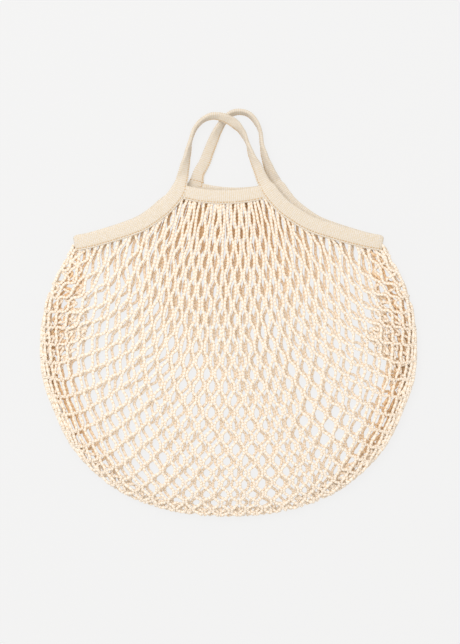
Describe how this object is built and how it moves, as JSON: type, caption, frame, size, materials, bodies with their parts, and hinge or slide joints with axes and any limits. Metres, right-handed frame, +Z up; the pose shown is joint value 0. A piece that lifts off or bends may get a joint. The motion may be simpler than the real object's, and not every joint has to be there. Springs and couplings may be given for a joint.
{
  "type": "string shopping bag",
  "caption": "Cotton net shopping bag lying flat: a pouch of knotted cord in two layers with bound shoulders and mouth, and two short looped tape handles.",
  "frame": {"origin": "middle of the outer box, on the surface that the bag lies on", "axes": "+X to the right of the bag as seen from above, +Y from the bottom fold towards the handles, +Z up from the surface through the front layer"},
  "size_m": [0.402, 0.4358, 0.0211],
  "materials": {
    "net_cotton": "matt",
    "tape_cotton": "matt"
  },
  "bodies": {
    "root": {"net_body": "net_cotton", "handle_tape_front": "tape_cotton", "mouth_tape_front": "tape_cotton", "handle_tape_back": "tape_cotton", "mouth_tape_back": "tape_cotton"}
  },
  "joints": []
}
